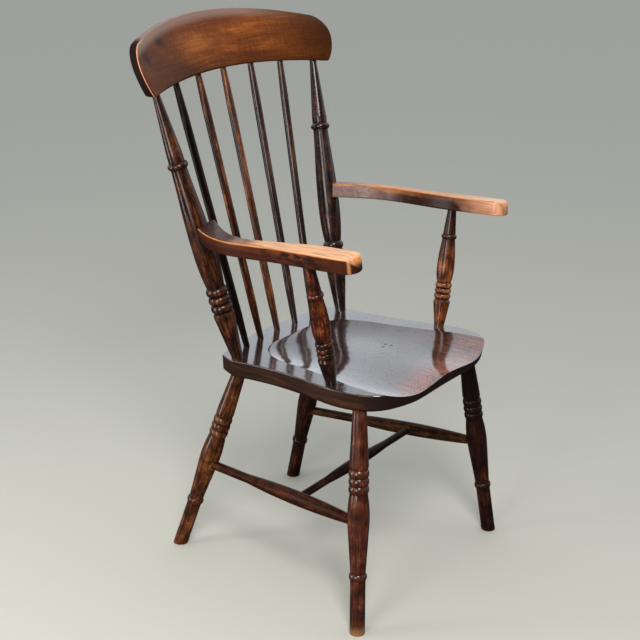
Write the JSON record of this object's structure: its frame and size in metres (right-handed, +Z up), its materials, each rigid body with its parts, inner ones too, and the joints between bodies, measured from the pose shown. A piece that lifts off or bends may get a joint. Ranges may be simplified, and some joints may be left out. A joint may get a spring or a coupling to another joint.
{
  "type": "windsor chair",
  "caption": "High-backed wooden armchair with turned legs, posts and arm supports in sockets in a thick saddled seat, a bowed crest rail over plain back spindles, and an H of stretchers.",
  "frame": {"origin": "on the floor, under the middle of the chair's box", "axes": "+X to the sitter's left, +Y to the back, +Z up; the chair faces -Y"},
  "size_m": [0.561, 0.5876, 1.06],
  "materials": {
    "seat_wood": "dark stained elm, waxed to a gloss",
    "turned_wood": "dark red-brown stained turned wood, waxed",
    "spindle_wood": "dark brown stained turned wood, waxed",
    "crest_wood": "orange-brown stained wood, waxed",
    "arm_wood": "brown stained wood, waxed, worn pale on top",
    "peg_wood": "plain stained wood"
  },
  "bodies": {
    "root": {"seat": "seat_wood", "leg_front_left": "turned_wood", "leg_front_right": "turned_wood", "leg_rear_left": "turned_wood", "leg_rear_right": "turned_wood", "stretcher_left": "turned_wood", "stretcher_right": "turned_wood", "stretcher_cross": "turned_wood", "back_post_left": "turned_wood", "back_post_right": "turned_wood", "arm_support_left": "turned_wood", "arm_support_right": "turned_wood", "spindle_outer_left": "spindle_wood", "spindle_inner_left": "spindle_wood", "spindle_centre": "spindle_wood", "spindle_inner_right": "spindle_wood", "spindle_outer_right": "spindle_wood", "crest_rail": "crest_wood", "arm_left": "arm_wood", "arm_right": "arm_wood", "arm_dowel_left": "peg_wood", "arm_dowel_right": "peg_wood", "crest_peg_left": "peg_wood", "crest_peg_right": "peg_wood"}
  },
  "joints": []
}
